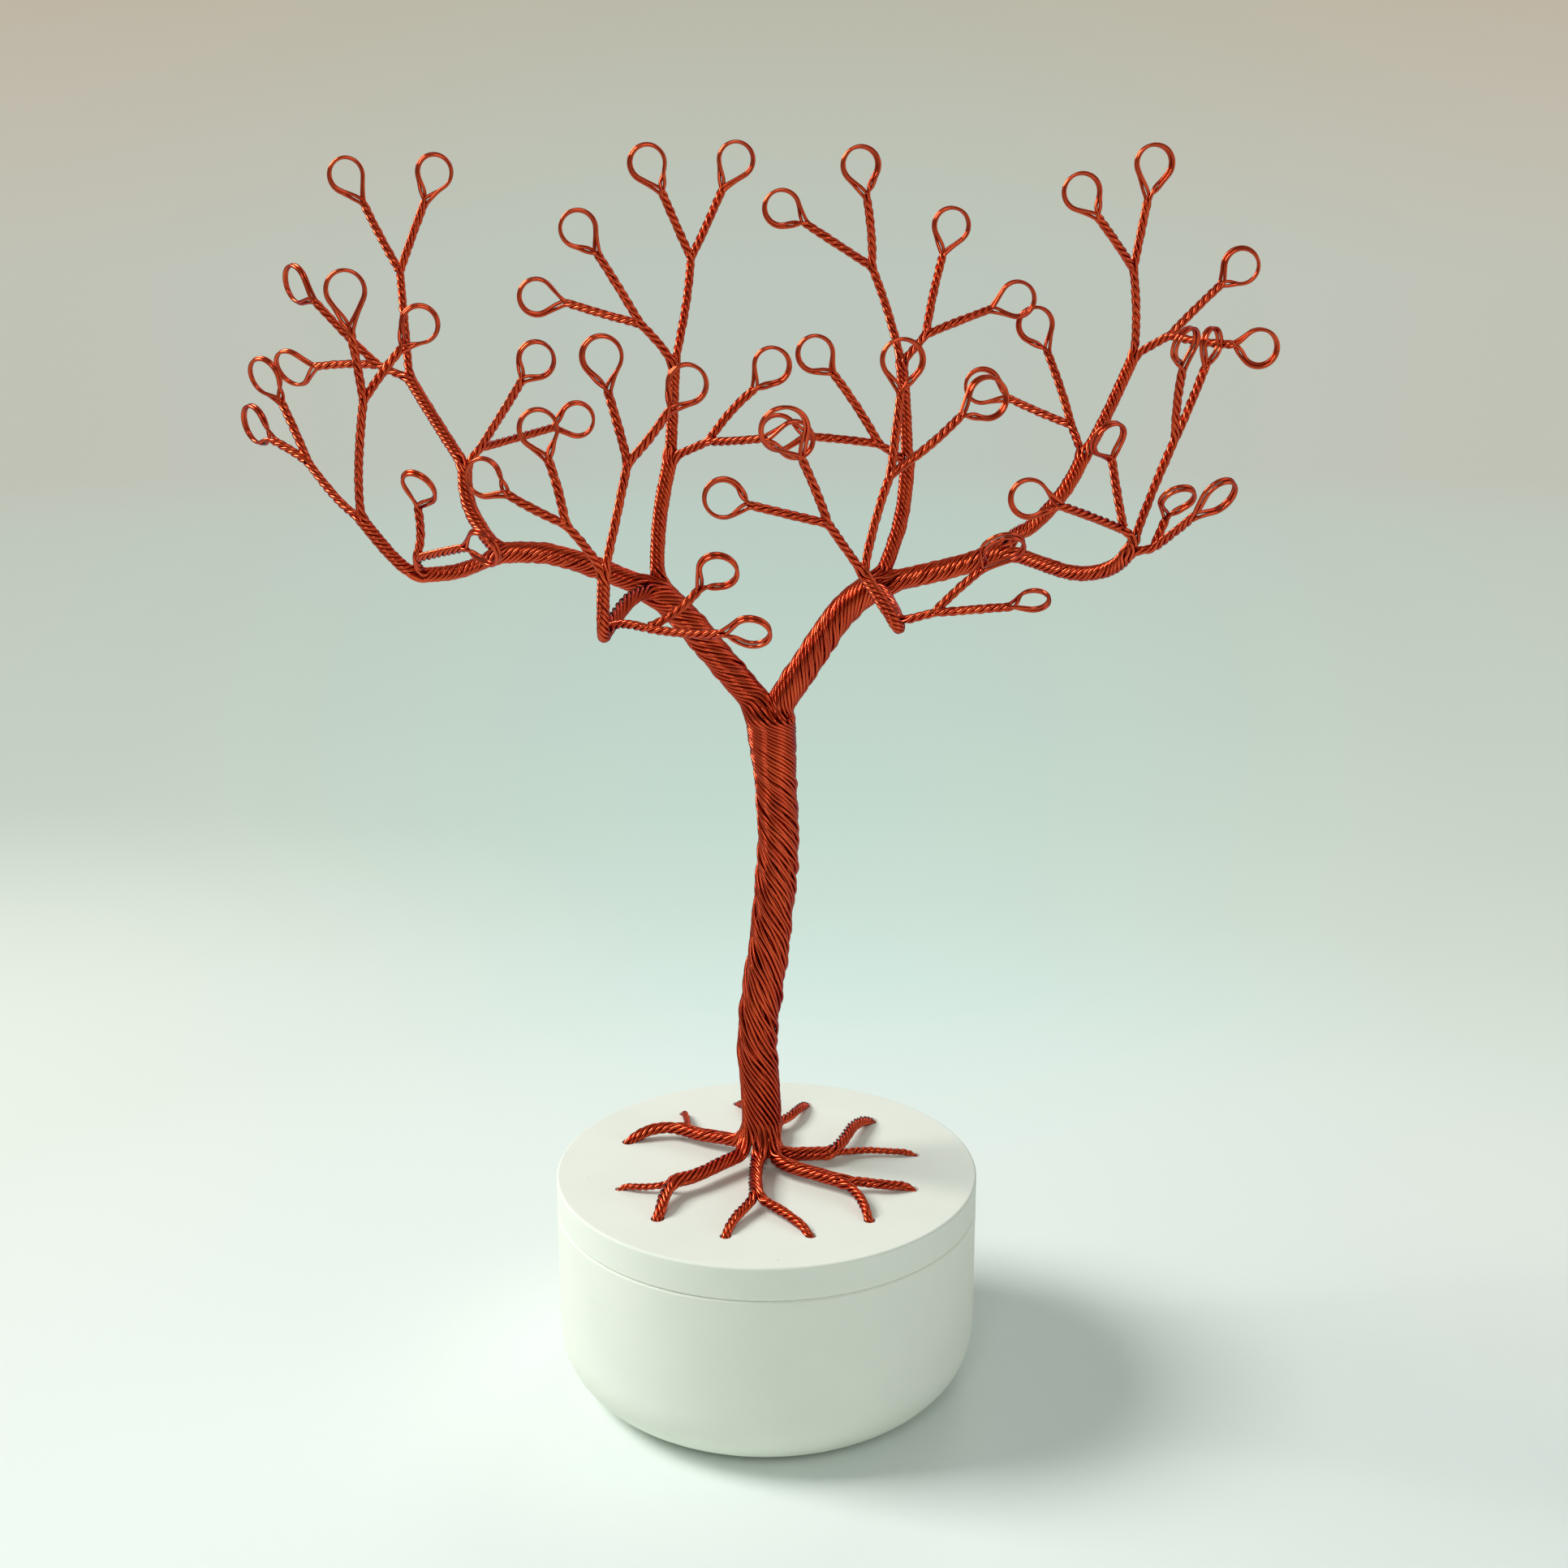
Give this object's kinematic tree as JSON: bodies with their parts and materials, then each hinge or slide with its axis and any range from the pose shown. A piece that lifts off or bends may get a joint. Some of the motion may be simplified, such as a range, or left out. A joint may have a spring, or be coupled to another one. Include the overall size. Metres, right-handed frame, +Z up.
{
  "type": "jewelry stand",
  "caption": "Jewelry stand: a tree of twisted copper wire with loops at its twig ends, rooted in the lift-off lid of a round cast box.",
  "frame": {"origin": "centre of the foot, on the surface that the box stands on", "axes": "+Z up along the box's axis, +X to the right and +Y away, seen from the front"},
  "size_m": [0.225, 0.1, 0.2883],
  "materials": {
    "cast_white": "matt cast plaster composite with a few pinholes",
    "copper_wire": "glossy enamelled copper winding wire"
  },
  "bodies": {
    "box": {"box": "cast_white"},
    "lid": {"lid": "cast_white", "trunk": "copper_wire", "root_left": "copper_wire", "root_front_left": "copper_wire", "root_front": "copper_wire", "root_front_right": "copper_wire", "root_right": "copper_wire", "root_back": "copper_wire", "limb_left": "copper_wire", "limb_right": "copper_wire", "limb_left_upper": "copper_wire", "limb_right_upper": "copper_wire", "branch_left_outer_low": "copper_wire", "branch_left_outer_high": "copper_wire", "branch_left_inner_high": "copper_wire", "branch_left_inner_low": "copper_wire", "branch_right_inner_low": "copper_wire", "branch_right_inner_high": "copper_wire", "branch_right_outer_high": "copper_wire", "branch_right_outer_low": "copper_wire", "sprig_01": "copper_wire", "sprig_02": "copper_wire", "sprig_03": "copper_wire", "sprig_04": "copper_wire", "sprig_05": "copper_wire", "sprig_06": "copper_wire", "sprig_07": "copper_wire", "sprig_08": "copper_wire", "sprig_09": "copper_wire", "sprig_10": "copper_wire", "sprig_11": "copper_wire", "sprig_12": "copper_wire", "sprig_13": "copper_wire", "sprig_14": "copper_wire", "sprig_15": "copper_wire", "sprig_16": "copper_wire", "sprig_17": "copper_wire", "sprig_18": "copper_wire", "sprig_19": "copper_wire", "sprig_20": "copper_wire", "sprig_21": "copper_wire", "sprig_22": "copper_wire", "sprig_23": "copper_wire", "sprig_24": "copper_wire"}
  },
  "joints": [
    {"name": "lid_lift", "type": "slide", "parent": "box", "child": "lid", "axis": [0, 0, 1], "range_m": [0, 0.06]}
  ]
}
